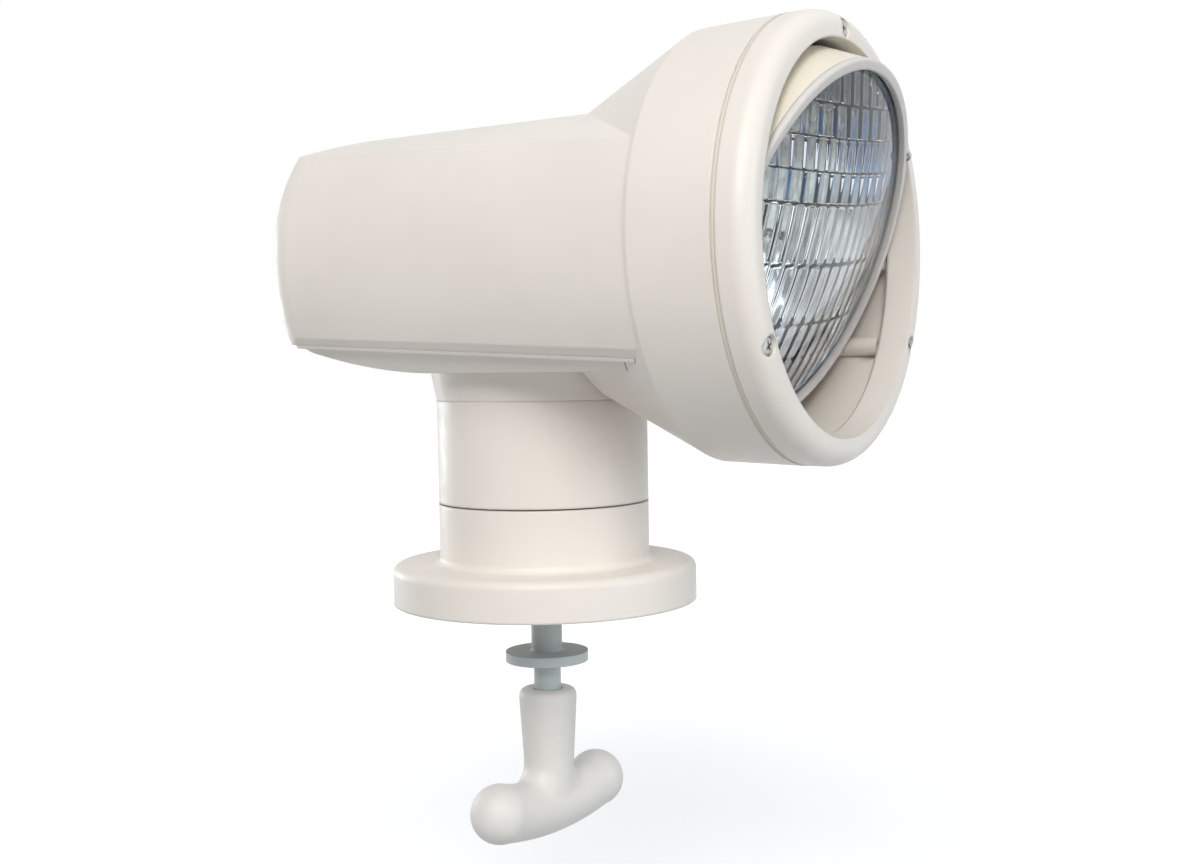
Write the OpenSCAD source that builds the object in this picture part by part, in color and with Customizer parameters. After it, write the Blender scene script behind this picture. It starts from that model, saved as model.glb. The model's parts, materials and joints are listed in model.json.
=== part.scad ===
// Marine searchlight for a cabin roof, steered from below by a T-handle.
// The origin is the centre of the deck face, +Z is up along the pan axis and +X is the beam.

/* [Base] */
// Radius of the mounting flange
flange_r = 66.5; // [62:0.5:80]
// Thickness of the mounting flange
flange_t = 17; // [13:0.5:22]
// Rounding of the flange's upper edge
flange_round = 3.5; // [1:0.5:6]
// Radius of the column, base and turret alike
column_r = 46; // [44:0.5:50]
// Height of the base's top, where the turret turns on it
base_h = 43; // [38:0.5:56]
// Wall of the cored base
base_wall = 5; // [3:0.5:6]
// Thickness of the plate that closes the base's top
base_plate_t = 7; // [5:0.5:9]
// Rounding between flange and column
base_fillet = 3; // [1:0.5:6]
// Number of threaded inserts in the deck face
insert_count = 4; // [3:1:6]
// Radius of the insert circle
insert_circle_r = 56; // [54:0.5:58]
// Outer radius of a threaded insert
insert_r = 4.5; // [4:0.1:5]
// Hole radius of a threaded insert
insert_hole_r = 2.5; // [2:0.1:3]
// Length of a threaded insert
insert_l = 11; // [8:0.5:11.5]
// Thickness of the sealing ring let into the deck face
gasket_t = 1.6; // [1:0.1:2.5]
// Width of the sealing ring
gasket_w = 5; // [3:0.5:6]

/* [Pan bearing] */
// Radius of the spigot that the turret turns on
spigot_r = 30; // [28:0.5:32]
// Bore radius of the hollow spigot
spigot_bore_r = 24; // [23:0.5:25]
// Height of the spigot above the base's top
spigot_h = 29; // [27:0.5:32]
// Wall of the plain bush between spigot and turret
bush_wall = 3; // [2:0.5:4]
// Thickness of the washer that carries the head
thrust_t = 1.5; // [1:0.1:2.5]
// Height of the dark seam between base and turret
pan_seam = 0.6; // [0.4:0.1:1]
// Thickness of the wave washer that gives the drag
wave_t = 1.6; // [1:0.1:2]
// Height of the ring nut that holds the turret down
nut_h = 6; // [4:0.5:7]
// Outer radius of the ring nut
nut_r = 36; // [34:0.5:38]
// Number of spanner slots in the ring nut
nut_slots = 4; // [3:1:8]

/* [Turret] */
// Height of the seam between turret and head
turret_top = 88; // [84:0.5:92]
// Wall of the turret
turret_wall = 4; // [3:0.5:5]
// Thickness of the turret's bearing web
hub_t = 8; // [6:0.5:9]
// Height of the bearing web above the base's top
hub_lift = 9; // [8:0.5:10]
// Thickness of the turret's top flange
turret_flange_t = 4; // [3:0.5:6]
// Number of screws between turret and head
turret_screw_count = 4; // [3:1:6]
// Radius of their screw circle
turret_screw_circle = 35; // [33:0.5:36]

/* [Head housing] */
// How far the barrel's side stands in from the bell's band
barrel_set = 1; // [0.75:0.25:3]
// Narrowing of the barrel's radius towards its rear
barrel_taper = 10; // [6:0.5:12]
// How much the tray's underside cuts off the barrel's round
tray_cut = 36.5; // [34:0.5:39]
// How much the crown cuts off the barrel's round
crown_cut = 27.5; // [25:0.5:30]
// Distance of the barrel's rear end behind the pan axis
barrel_back = 104; // [98:1:112]
// Rounding of the barrel's rear edge
rear_round = 20; // [12:1:26]
// Radius of the shallow dome that closes the rear
rear_dome_r = 230; // [180:5:400]
// Radius of the crown across the barrel
crown_r = 145; // [130:1:170]
// Radius of the curve that drops the crown to the rear
crown_drop_r = 120; // [100:1:150]
// Distance behind the pan axis where the crown starts to drop
crown_drop_back = 34; // [30:1:54]
// Rounding where the barrel's sides run into the bell
bell_fillet = 5; // [3:0.5:6]
// Wall of the head's mouldings
shell_wall = 3.2; // [2.5:0.1:4]
// Height of the parting line above the tray's underside, at the pan axis
tray_h = 9; // [8:0.5:12]
// Forward fall of the parting line in degrees
parting_fall = 2.75; // [1:0.25:3]
// Step from the barrel's side in to the tray's side
tray_step = 4.5; // [3.5:0.5:6]
// How far the barrel's lower edge turns in above the tray
belly_turn = 2.5; // [2:0.25:4]
// Radius of the curve that turns it in
belly_r = 150; // [140:1:165]
// Width of the bead along the tray's upper edge
bead_w = 3; // [2:0.25:3.5]
// Height of the bead
bead_h = 1.6; // [1:0.2:2.5]
// Height of the tray's underside
tray_z = 100; // [99:0.5:101]
// Radius of the curve that lifts the tray's rear
tray_lift_r = 230; // [200:5:320]
// Distance behind the pan axis where the tray's underside starts to rise
tray_lift_back = 14; // [10:1:20]
// Radius at the top of the neck under the tray
neck_top_r = 48.5; // [48:0.5:50]
// Distance of a housing screw ahead of and behind the pan axis
post_x = 30; // [28:1:32]
// Height of a screw post above the parting line
post_h = 26; // [18:1:32]

/* [Bell and front ring] */
// Radius of the bell's band
band_r = 86; // [84:0.5:88]
// Widening of the band towards the front ring
band_flare = 1; // [0:0.25:1.5]
// Distance from the pan axis to the start of the bell's cone
cone_x = 47; // [46.5:0.5:50]
// Rise of the cone's radius up to the band
cone_rise = 23; // [22:0.5:24]
// Distance from the pan axis to the end of the cone
band_x = 95; // [93:0.5:99]
// Distance from the pan axis to the ring's joint
ring_x = 130.4; // [129:0.2:132]
// Depth of the front ring
ring_depth = 13; // [11:0.5:15]
// Width of the front ring's face
ring_face_w = 10.8; // [10.4:0.1:11.4]
// Rounding of the front ring's outer edge
ring_round = 7; // [3:0.5:8]
// Thickness of the seal behind the front ring
ring_seal_t = 1.6; // [1:0.1:2]
// Number of screws in the front ring
ring_screw_count = 3; // [3:1:6]
// Distance of their circle in from the ring's edge
ring_screw_set = 6.4; // [6:0.1:6.7]
// Length of the screw bosses inside the bell
boss_l = 26; // [20:1:32]
// Radius of a screw boss
boss_r = 4; // [3.5:0.1:4.2]

/* [Lamp] */
// Distance from the pan axis to the tilt axis
tilt_x = 124; // [123:0.2:125]
// How far the lamp looks down in the stored pose, in degrees
dip = 20.6; // [18:0.2:21]
// Gap between the lamp carrier and the front ring's opening
lamp_room = 2.7; // [2.2:0.1:3.2]
// Wall of the lamp carrier
carrier_wall = 1.8; // [1.5:0.1:2]
// Distance from the tilt axis forward to the rim's face
rim_front = 7.4; // [6.6:0.2:8]
// Distance from the tilt axis back to the carrier's rear
carrier_back = 14.2; // [13:0.2:15]
// Thickness of the clamp ring round the glass
clamp_t = 2.6; // [2:0.1:3]
// Width of the clamp ring's front face
clamp_w = 4; // [3:0.1:5]
// Place of the clamp screw round the rim, in degrees from the horizontal
clamp_screw_angle = 36; // [25:1:60]
// Thickness of the lens glass
glass_t = 3.5; // [2.5:0.1:4]
// Rise of the lens dome
lens_rise = 12; // [9:0.5:14]
// Depth of the mirror bowl
mirror_depth = 48; // [44:0.5:50]
// Number of flat steps in the mirror's curve
mirror_steps = 14; // [8:1:24]
// Radius of a trunnion pin
trunnion_r = 3; // [2.5:0.1:3.2]
// Radius of a filament post
filament_post_r = 0.9; // [0.6:0.1:1.2]

/* [Tilt drive] */
// Distance from the tilt axis back to the drive pin
drive_reach = 77; // [76:0.5:79]
// Radius of the drive pin
drive_pin_r = 3; // [2.5:0.1:3.2]
// Side clearance of the drive pin in its slot
slot_clearance = 0.8; // [0.7:0.05:1]
// Thickness of the steel strap behind the lamp
strap_t = 3; // [2:0.25:3.5]
// Height of the strap
strap_h = 14; // [12:0.5:16]
// Gap between the fork's cheeks and the strap's tab
fork_clearance = 1; // [0.5:0.1:1.5]
// Thickness of a fork cheek
cheek_t = 4; // [3:0.25:5]
// Height of the push arm
arm_h = 15; // [14:0.5:16]

/* [Control rod and handle] */
// Radius of the control rod
rod_r = 6; // [5.5:0.1:6.3]
// Width across the rod's two flats
rod_flats = 9; // [8:0.1:10]
// Depth of the handle's top below the deck
handle_top = 40; // [39:0.5:60]
// Radius of the handle's stem at its top
stem_r = 12.9; // [12:0.1:14]
// Radius of the stem's waist
waist_r = 11.2; // [10:0.1:12]
// Depth of the bar's ends below the deck
bar_depth = 88.5; // [86:0.5:110]
// Half distance between the bar's two end centres
bar_half = 33; // [28:0.5:40]
// Radius of the bar
bar_r = 12.4; // [11.5:0.1:14]
// Radius of the bar's round ends
bar_end_r = 12.9; // [12:0.1:14.5]
// Sag of the bar below its ends
bar_sag = 4; // [2:0.25:8]
// Heading of the bar from the beam, in degrees
bar_heading = 84; // [60:1:100]
// Bend radius of the two elbows that join the stem to the bar
elbow_r = 20; // [16:0.5:24]
// Depth of the deck sleeve's disc below the deck
sleeve_drop = 23.4; // [23:0.2:26]
// Radius of the deck sleeve's disc
disc_r = 18.2; // [16:0.2:22]
// Thickness of the deck sleeve's disc
disc_t = 4.3; // [3:0.1:5]
// Wall of the deck sleeve
sleeve_wall = 0.75; // [0.6:0.05:1]
// Length of the sleeve above its disc
sleeve_l = 37; // [30:0.5:38]

/* [Fits] */
// Radial clearance of parts that turn or slide
running = 0.05; // [0.02:0.01:0.1]
// Radial clearance of parts that are pushed together
push = 0.02; // [0.01:0.01:0.05]
// Gap between moulded parts that meet along a curve
seam = 0.3; // [0.2:0.05:0.5]
// Gap of the closed joint where the tray meets the bell
shell_fit = 0.06; // [0.03:0.01:0.1]
// Radius of the small housing screws
screw_r = 2; // [1.8:0.1:2.2]
// Radius of their heads
screw_head_r = 3.6; // [3.2:0.1:3.8]
// Height of their heads
screw_head_h = 2.6; // [2:0.1:3]

/* [Hidden] */
$fn = 96;

white = [0.93, 0.90, 0.86];
cream = [0.94, 0.90, 0.80];
steel = [0.62, 0.63, 0.64];
brass = [0.78, 0.62, 0.32];
rubber = [0.12, 0.12, 0.13];
nylon = [0.85, 0.85, 0.80];
glass = [0.75, 0.85, 0.90, 0.5];
big = 400;

// Base and bearing
sleeve_r = rod_r + running + sleeve_wall;
hub_bore_r = sleeve_r + 2*running;
hub_wall = 3;
seal_h = 6;
seal_wall = 4;
seal_r = rod_r + seal_wall;
seal_seat = 1;
seal_z = base_h - base_plate_t - seal_seat;
hub_r = seal_r + hub_wall;
core_r = column_r - base_wall;
core_top = base_h - base_plate_t;
core_rib_t = 3;
core_ribs = 6;
gasket_set = 1.5;
gasket_r = core_r + gasket_set;
lead_x = (hub_r + spigot_bore_r)/2;
lead_lip = 1;
lead_hole_r = 4;
lead_bore_r = 2.5;
lead_slack = 6;
lead_room = 2;
bush_r = spigot_r + running + bush_wall;
hub_z = base_h + hub_lift;
hub_top = hub_z + hub_t;
bush_flange_t = 1;
bush_flange_w = 2;
wave_z = hub_top + bush_flange_t + running;
nut_z = wave_z + wave_t + running;
thread_step = 2;
nut_bore_r = spigot_r - thread_step;
nut_slot_w = 5;
nut_slot_d = 3;
thrust_set = 2;
thrust_r = column_r - turret_wall - thrust_set;
turret_bottom = base_h + pan_seam;
turret_inner_r = column_r - turret_wall;
turret_screw_l = 12;
turret_flange_lip = 5;

// Screws
dome_flat = 0.1;
screw_edge = 1;
cross_half = 2;
cross_depth = 1.2;
driver_slot = 1;
sink = 1;
post_wall = 3;
post_r = screw_r + post_wall;
tray_post_wall = 2.4;
tray_post_r = screw_head_r + tray_post_wall;
post_margin = 1.2;
shell_screw_l = 18;
ring_screw_bite = 8;
ring_screw_l = ring_depth + ring_screw_bite;

// Housing
cone_r = band_r - cone_rise;
barrel_r_front = band_r - barrel_set;
barrel_r_rear = barrel_r_front - barrel_taper;
axis_z = tray_z + barrel_r_front - tray_cut;
crown_z = axis_z + barrel_r_front - crown_cut;
parting_z = tray_z + tray_h;
floor_half = sqrt(pow(barrel_r_rear - tray_step, 2) - pow(axis_z - tray_z, 2));
post_y = floor_half - screw_head_r - post_margin;
barrel_r_mid = barrel_r_rear + barrel_taper/2;
parting_half = sqrt(pow(barrel_r_mid, 2) - pow(axis_z - parting_z, 2));
rear_x = -barrel_back;
rear_centre_r = barrel_r_rear - rear_round;
rear_centre_x = rear_x + rear_dome_r
              - sqrt(pow(rear_dome_r - rear_round, 2) - pow(rear_centre_r, 2));
cone_slope = atan2(band_r - cone_r, band_x - cone_x);
groove_x = cone_x + (barrel_r_front - cone_r)/tan(cone_slope);
core_front = groove_x - bell_fillet/2;
barrel_front = groove_x + bell_fillet/2;
fillet_bite = 0.25;
barrel_slope = barrel_taper/(groove_x - rear_centre_x);
parting_slope = (barrel_r_mid*barrel_slope - (axis_z - parting_z)*tan(parting_fall))/parting_half;
belly_side = 30;
belly_half = parting_half - belly_turn + belly_side;
belly_lift = sqrt(pow(belly_r, 2) - pow(belly_half, 2));
dome_bite = 1.5;
wall_bite = 0.05;
crown_axis_z = crown_z - crown_r;
ring_r = band_r + band_flare;
ring_open_r = ring_r - ring_face_w;
ring_screw_circle = ring_r - ring_screw_set;
carrier_r = ring_open_r - lamp_room;
bell_front = ring_x - ring_seal_t;
bell_inner_r = band_r - shell_wall;
tray_floor = tray_z + shell_wall;
lug_half = 7;
lug_gap = 0.6;
ring_front = ring_x + ring_depth;
ring_seal_w = 8;
ring_seal_set = 0.35;
trunnion_pad = 1.5;
pivot_wall = 1;
pivot_set = 1;
pivot_end = bell_inner_r - pivot_set;
lug_face = carrier_r + trunnion_pad + lug_gap;
pivot_bush_r = trunnion_r + running + pivot_wall;

// Lamp, in its own frame with the tilt axis as origin
carrier_inner_r = carrier_r - carrier_wall;
glass_r = carrier_inner_r - seam;
lens_r = (pow(glass_r, 2) + pow(lens_rise, 2))/(2*lens_rise);
clamp_back = rim_front - clamp_t;
glass_lip = 1;
lens_edge_x = clamp_back - glass_lip;
lens_centre_x = lens_edge_x + lens_rise - lens_r;
lens_foot_x = lens_centre_x + sqrt(pow(lens_r - glass_t, 2) - pow(glass_r, 2));
mirror_rim_x = lens_foot_x - push;
mirror_land = 2.2;
mirror_r = glass_r - mirror_land;
mirror_vertex = mirror_rim_x - mirror_depth;
mirror_focus = pow(mirror_r, 2)/(4*mirror_depth);
cushion_t = 1.5;
seat_x = mirror_rim_x - glass_t - cushion_t;
seat_t = 3;
seat_w = 3.2;
rear_flange_t = 2.5;
rear_flange_w = 6.6;
trunnion_half = 4.6;
neck_r = 15;
neck_l = 4;
neck_x = mirror_vertex - glass_t - neck_l;
terminal_l = 6;
terminal_r = 3.5;
terminal_y = 8;
clamp_edge = 1;
notch_w = 5.2;
notch_depth = 1.6;
clamp_head_r = clamp_t/2;
clamp_head_out = 0.4;
clamp_slot = 0.6;
clamp_slot_depth = 0.7;

// Tilt drive
pin_x = tilt_x - drive_reach;
pin_z = axis_z + drive_reach*tan(dip);
stroke = 2*drive_reach*tan(dip);
slot_near = drive_reach - drive_pin_r - slot_clearance;
slot_far = drive_reach/cos(dip) + drive_pin_r + slot_clearance;
tab_t = strap_t;
tab_web = 5;
tab_end = slot_far + tab_web;
tab_side = 4.5;
tab_h = 2*(drive_pin_r + slot_clearance + tab_side);
strap_foot_y = carrier_inner_r - seam;
strap_set = 8;
strap_back = drive_reach - strap_set;
strap_half = 26;
knee_shift = 1.5;
strap_screw_y = carrier_inner_r - rear_flange_w/2 - seam;
strap_knee = strap_screw_y - screw_head_r - seam/2;
fork_in = tab_t/2 + fork_clearance;
fork_out = fork_in + cheek_t;
fork_room = 5;
fork_root = tilt_x - tab_end - fork_room;
fork_nose = 3;
fork_front = pin_x + drive_pin_r + fork_nose;
arm_boss_wall = 5;
arm_boss_r = rod_r + arm_boss_wall;
fork_tip_r = 6;
arm_z = pin_z - arm_h/2;
arm_nut_h = 6;
arm_nut_r = 10;
rod_end = 1;
rod_top = arm_z + arm_h + arm_nut_h + rod_end;
clip_t = 1;
clip_w = 2;
clip_r = drive_pin_r + clip_w;
drive_flange_t = 3;
drive_flange_w = 4;
drive_bush_wall = 4;
drive_bush_r = rod_r + drive_bush_wall;
drive_bush_drop = 3;
drive_bush_low = tray_z - drive_bush_drop;
flats_run = 1;
flats_low = drive_bush_low - flats_run;
flats_high = tray_floor + drive_flange_t + stroke + flats_run;

// Handle
handle_bore = 20;
rod_low = -handle_top - handle_bore + rod_end;
bar_arc_r = (pow(bar_half, 2) + pow(bar_sag, 2))/(2*bar_sag);
bar_arc_angle = asin(bar_half/bar_arc_r);
stem_round = 3;
elbow_set = 0.5;
elbow_z = bar_arc_r - sqrt(pow(bar_arc_r, 2) - pow(elbow_r, 2)) - bar_depth - bar_sag;
handle_pin_z = -handle_top - handle_bore/2;
handle_pin_r = 2;
handle_pin_blind = 2;
sleeve_fillet = 1;

// Shared shapes

// Stands a shape that is drawn along +Z along the beam instead
module along_beam() {
    rotate([0, 90, 0]) children();
}

// Turns a half profile, radius against distance, round the beam axis of the head
module head_turned() {
    translate([0, 0, axis_z]) along_beam() rotate_extrude() children();
}

// Puts a shape from the lamp's own frame at its stored tilt
module at_lamp() {
    translate([tilt_x, 0, axis_z]) rotate([0, dip, 0]) children();
}

// Flat ring between two radii
module ring(outer, inner, h) {
    difference() {
        cylinder(r = outer, h = h);
        translate([0, 0, -1]) cylinder(r = inner, h = h + 2);
    }
}

// Half profile of a ring, for turning
module band(inner, outer, from, to) {
    translate([inner, from]) square([outer - inner, to - from]);
}

// Concave corner, in a half profile, between a straight wall and a flare that leaves it
module flare_corner(wall_r, corner_x, fillet, slope) {
    reach = fillet*tan(slope/2);
    start = corner_x - reach + fillet_bite;
    difference() {
        polygon([
            [wall_r - 1, start],
            [wall_r, start],
            [wall_r + reach*sin(slope), corner_x + reach*cos(slope)],
            [wall_r - 1, corner_x + reach*cos(slope)]
        ]);
        translate([wall_r + fillet, start]) circle(r = fillet);
    }
}

// Screw with a pan head and a cross recess, its seat at z = 0 and its shank downwards
module pan_screw(length) {
    difference() {
        union() {
            translate([0, 0, -length]) cylinder(r = screw_r, h = length);
            cylinder(r = screw_head_r, h = screw_head_h - screw_edge);
            translate([0, 0, screw_head_h - screw_edge])
                cylinder(r1 = screw_head_r, r2 = screw_head_r - screw_edge, h = screw_edge);
        }
        for (turn = [0, 90])
            rotate(turn) translate([-cross_half, -driver_slot/2, screw_head_h - cross_depth])
                cube([2*cross_half, driver_slot, cross_depth + 1]);
    }
}

// Half space below the sloping parting line of the head
module below_parting() {
    translate([0, 0, parting_z]) rotate([0, parting_fall, 0]) translate([-big, -big, -2*big])
        cube(2*big);
}

// Half space above the sloping parting line of the head
module above_parting() {
    translate([0, 0, parting_z]) rotate([0, parting_fall, 0]) translate([-big, -big, 0])
        cube(2*big);
}

// Places of the four screws that join the head's mouldings
module at_posts() {
    for (x = [-post_x, post_x], y = [-post_y, post_y])
        translate([x, y, 0]) children();
}

// Places of the screws between turret and head
module at_turret_screws() {
    for (i = [0:turret_screw_count - 1])
        rotate(45 + 360*i/turret_screw_count) translate([turret_screw_circle, 0, 0]) children();
}

// Places of the front ring's screws, with +Z turned along the beam
module at_ring_screws() {
    for (i = [0:ring_screw_count - 1])
        translate([0, 0, axis_z]) rotate([90 + 360*i/ring_screw_count, 0, 0])
            translate([0, ring_screw_circle, 0]) along_beam() children();
}

// Half profile of the barrel, all its walls set in by a depth
module barrel_profile(inset) {
    cap_r = rear_centre_r*(rear_dome_r - inset)/(rear_dome_r - rear_round);
    corner_r = rear_centre_r + rear_round - inset;
    intersection() {
        translate([0, rear_x + rear_dome_r]) circle(r = rear_dome_r - inset);
        translate([0, rear_x + inset + dome_flat]) square([cap_r - dome_bite, barrel_back]);
    }
    translate([rear_centre_r, rear_centre_x]) circle(r = rear_round - inset);
    polygon([
        [0, rear_centre_x],
        [corner_r - wall_bite, rear_centre_x],
        [barrel_r_front - inset, groove_x],
        [barrel_r_front - inset, band_x],
        [0, band_x]
    ]);
    flare_corner(barrel_r_front - inset, groove_x, bell_fillet, cone_slope);
}

// Side view of the crown's drop to the rear, as a long bar across the head
module crown_drop(inset) {
    drop_z = crown_z - crown_drop_r;
    translate([-crown_drop_back, 0, drop_z]) rotate([90, 0, 0])
        cylinder(r = crown_drop_r - inset, h = 2*big, center = true, $fn = 180);
    translate([-crown_drop_back, -big, -big]) cube(2*big);
}

// Long round bar that turns the barrel's lower edge in on one side, along the parting line
module belly(inset) {
    translate([0, 0, parting_z]) rotate([0, parting_fall, 0]) rotate(atan(parting_slope))
        translate([-big, -belly_side, belly_lift]) along_beam()
            cylinder(r = belly_r - inset, h = 2*big, $fn = 180);
}

// Solid of the barrel with its crowned top and turned edges
module barrel_solid(inset, front) {
    intersection() {
        head_turned() barrel_profile(inset);
        belly(inset);
        mirror([0, 1, 0]) belly(inset);
        translate([-big, 0, crown_axis_z]) along_beam()
            cylinder(r = crown_r - inset, h = 2*big, $fn = 180);
        crown_drop(inset);
        translate([-big, -big, -big]) cube([big + front, 2*big, 2*big]);
    }
}

// Half profile of the bell, a cone and a band, from a given distance on
module bell_profile(inset, from) {
    side = inset/cos(cone_slope);
    front = inset > 0 ? ring_x : bell_front;
    polygon([
        [0, from],
        [cone_r - side + (from - cone_x)*tan(cone_slope), from],
        [band_r - inset, band_x + (side - inset)/tan(cone_slope)],
        [ring_r - inset, front],
        [0, front]
    ]);
}

// Outside of the bell, grown by a gap, as the cut that its neighbours take
module bell_cut(gap) {
    translate([-gap, 0, 0]) head_turned() bell_profile(-gap, cone_x);
}

// Base: fixed to the deck

module base_flange() {
    color(white) difference() {
        union() {
            rotate_extrude() difference() {
                union() {
                    square([flange_r, flange_t - flange_round]);
                    square([flange_r - flange_round, flange_t]);
                    translate([flange_r - flange_round, flange_t - flange_round])
                        circle(r = flange_round);
                    square([column_r, base_h]);
                    square([spigot_r, nut_z]);
                    square([nut_bore_r, base_h + spigot_h]);
                    difference() {
                        translate([column_r - 1, flange_t - 1]) square(base_fillet + 1);
                        translate([column_r + base_fillet, flange_t + base_fillet])
                            circle(r = base_fillet);
                    }
                }
                translate([-1, base_h]) square([spigot_bore_r + 1, spigot_h + 1]);
                translate([-1, -1]) square([hub_bore_r + 1, base_h + 2]);
                translate([-1, seal_z]) square([seal_r + push + 1, base_h]);
                translate([hub_r, -1]) square([core_r - hub_r, core_top + 1]);
                translate([gasket_r - push, -1]) square([gasket_w + 2*push, gasket_t + 1]);
            }
            for (i = [0:core_ribs - 1])
                rotate(360*(i + 0.5)/core_ribs) translate([hub_r - 1, -core_rib_t/2, gasket_t])
                    cube([core_r - hub_r + 2, core_rib_t, core_top - gasket_t + 1]);
        }
        for (i = [0:insert_count - 1])
            rotate(45 + 360*i/insert_count) translate([insert_circle_r, 0, -1])
                cylinder(r = insert_r + push, h = insert_l + 1);
        translate([-lead_x, 0, core_top - 1]) cylinder(r = lead_hole_r + push, h = base_plate_t + 2);
    }
}

module deck_gasket() {
    color(rubber) ring(gasket_r + gasket_w, gasket_r, gasket_t);
}

module deck_inserts() {
    color(brass) for (i = [0:insert_count - 1])
        rotate(45 + 360*i/insert_count) translate([insert_circle_r, 0, 0])
            ring(insert_r, insert_hole_r, insert_l);
}

module cable_grommet() {
    length = base_plate_t + 2*lead_lip;
    color(rubber) translate([-lead_x, 0, core_top - lead_lip]) difference() {
        union() {
            cylinder(r = lead_hole_r, h = length);
            cylinder(r = lead_hole_r + lead_lip, h = lead_lip);
            translate([0, 0, length - lead_lip]) cylinder(r = lead_hole_r + lead_lip, h = lead_lip);
        }
        translate([0, 0, -1]) cylinder(r = lead_bore_r, h = length + 2);
    }
}

module rod_seal() {
    color(rubber) translate([0, 0, seal_z]) ring(seal_r, rod_r + running, seal_h);
}

module thrust_washer() {
    color(nylon) translate([0, 0, base_h]) ring(thrust_r, spigot_r + push, thrust_t);
}

module wave_washer() {
    color(steel) translate([0, 0, wave_z]) ring(nut_r - 1, spigot_r + push, wave_t);
}

module ring_nut() {
    color(steel) translate([0, 0, nut_z]) difference() {
        ring(nut_r, nut_bore_r + push, nut_h);
        for (i = [0:nut_slots - 1])
            rotate(360*i/nut_slots) translate([nut_r - nut_slot_d, -nut_slot_w/2, -1])
                cube([nut_slot_d + 1, nut_slot_w, nut_h + 2]);
    }
}

// Head: turns on the base

module turret_column() {
    color(white) difference() {
        rotate_extrude() {
            band(turret_inner_r, column_r, turret_bottom, turret_top);
            band(bush_r + push, turret_inner_r + 1, hub_z, hub_top);
            band(bush_r + push, thrust_r, base_h + thrust_t + running, hub_z + 1);
            band(turret_screw_circle - turret_flange_lip, turret_inner_r + 1,
                 turret_top - turret_flange_t, turret_top);
        }
        at_turret_screws() translate([0, 0, turret_top - turret_flange_t - 1])
            cylinder(r = screw_r + running, h = turret_flange_t + 2);
        bell_cut(seam);
    }
}

module pan_bush() {
    color(nylon) {
        rotate_extrude() {
            band(spigot_r + running, bush_r, base_h + thrust_t + 1, hub_top + bush_flange_t);
            band(spigot_r + running, bush_r + bush_flange_w, hub_top, hub_top + bush_flange_t);
        }
    }
}

module turret_screws() {
    color(steel) at_turret_screws() translate([0, 0, turret_top - turret_flange_t])
        mirror([0, 0, 1]) pan_screw(turret_screw_l);
}

// Solid of the tray under the barrel, its walls set in and its floor lifted by a depth
module tray_solid(inset) {
    lift_z = tray_z + tray_lift_r;
    intersection() {
        head_turned() barrel_profile(tray_step + inset);
        below_parting();
        translate([-big, -big, tray_z + inset]) cube([2*big, 2*big, big]);
        union() {
            translate([-tray_lift_back, 0, lift_z]) rotate([90, 0, 0])
                cylinder(r = tray_lift_r - inset, h = 2*big, center = true, $fn = 180);
            translate([-tray_lift_back, -big, -big]) cube(2*big);
        }
    }
}

module lower_shell() {
    color(white) difference() {
        union() {
            tray_solid(0);
            intersection() {
                head_turned() barrel_profile(tray_step - bead_w);
                below_parting();
                translate([0, 0, -bead_h]) above_parting();
            }
            translate([0, 0, turret_top])
                cylinder(r1 = column_r, r2 = neck_top_r, h = tray_z - turret_top + 1);
        }
        difference() {
            tray_solid(shell_wall);
            at_posts() cylinder(r = tray_post_r, h = big);
        }
        difference() {
            translate([0, 0, turret_top - 1])
                cylinder(r = turret_inner_r, h = tray_z - turret_top + 1);
            at_turret_screws() translate([0, 0, turret_top]) cylinder(r = post_r, h = big);
        }
        at_turret_screws() translate([0, 0, turret_top - 1])
            cylinder(r = screw_r + push, h = turret_screw_l - turret_flange_t + 2);
        at_posts() {
            translate([0, 0, tray_z - 1]) cylinder(r = screw_r + running, h = big);
            translate([0, 0, tray_z - 1]) cylinder(r = screw_head_r + seam, h = 1 + screw_head_h + sink);
        }
        translate([0, 0, tray_z - 1]) cylinder(r = drive_bush_r + push, h = shell_wall + 2);
        translate([-lead_x - lead_slack, 0, tray_z - 1])
            cylinder(r = lead_hole_r + lead_room, h = shell_wall + 2);
        bell_cut(shell_fit);
    }
}

module drive_bush() {
    color(nylon) difference() {
        union() {
            translate([0, 0, drive_bush_low]) cylinder(r = drive_bush_r, h = tray_floor - drive_bush_low);
            translate([0, 0, tray_floor]) cylinder(r = drive_bush_r + drive_flange_w, h = drive_flange_t);
        }
        intersection() {
            translate([0, 0, drive_bush_low - 1]) cylinder(r = rod_r + running, h = big);
            translate([-big, -rod_flats/2 - running, -big]) cube([2*big, rod_flats + 2*running, 2*big]);
        }
    }
}

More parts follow.
